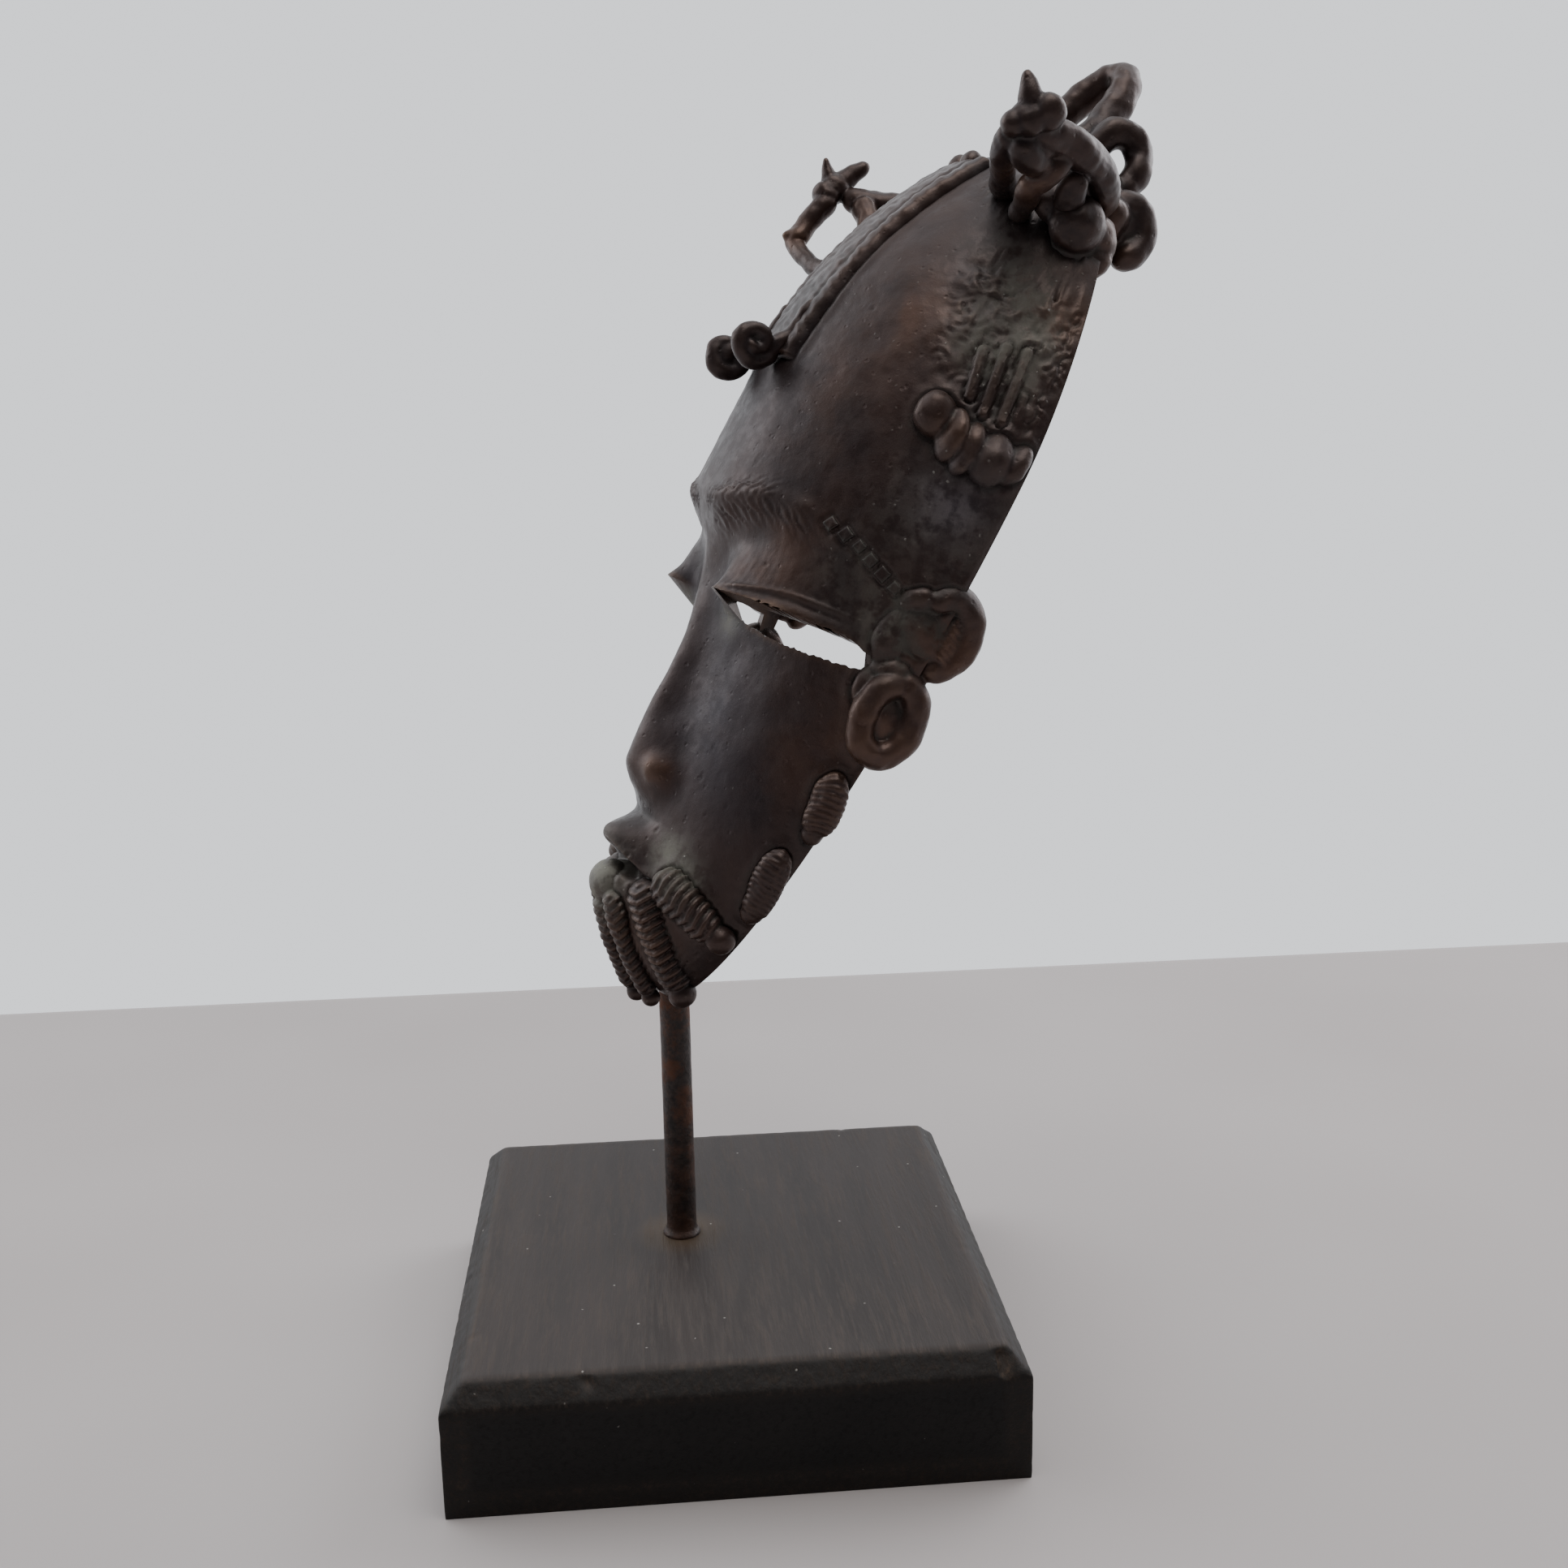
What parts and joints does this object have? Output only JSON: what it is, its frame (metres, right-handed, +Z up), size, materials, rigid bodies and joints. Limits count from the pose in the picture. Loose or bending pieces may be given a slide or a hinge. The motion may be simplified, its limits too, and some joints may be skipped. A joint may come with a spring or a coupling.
{
  "type": "cast bronze mask on stand",
  "caption": "Elongated stylised bronze mask with slit eyes, coiled ears, crown loops and two small horned animals, leaning on an iron rod in a square wooden base.",
  "frame": {"origin": "centre of the wooden base's underside", "axes": "+Z up, X and Y along the base's sides; the mask faces -Y turned 14 degrees towards +X, and leans back 30 degrees so that its crown is towards +Y"},
  "size_m": [0.1305, 0.1613, 0.2913],
  "materials": {
    "mask": "dark brown cast bronze patina, worn warmer on high points, dusty green in the hollows",
    "rod": "rusty dark iron",
    "base": "dark stained and worn, fine grain"
  },
  "bodies": {
    "root": {"mask": "mask", "rod": "rod", "base": "base"}
  },
  "joints": []
}
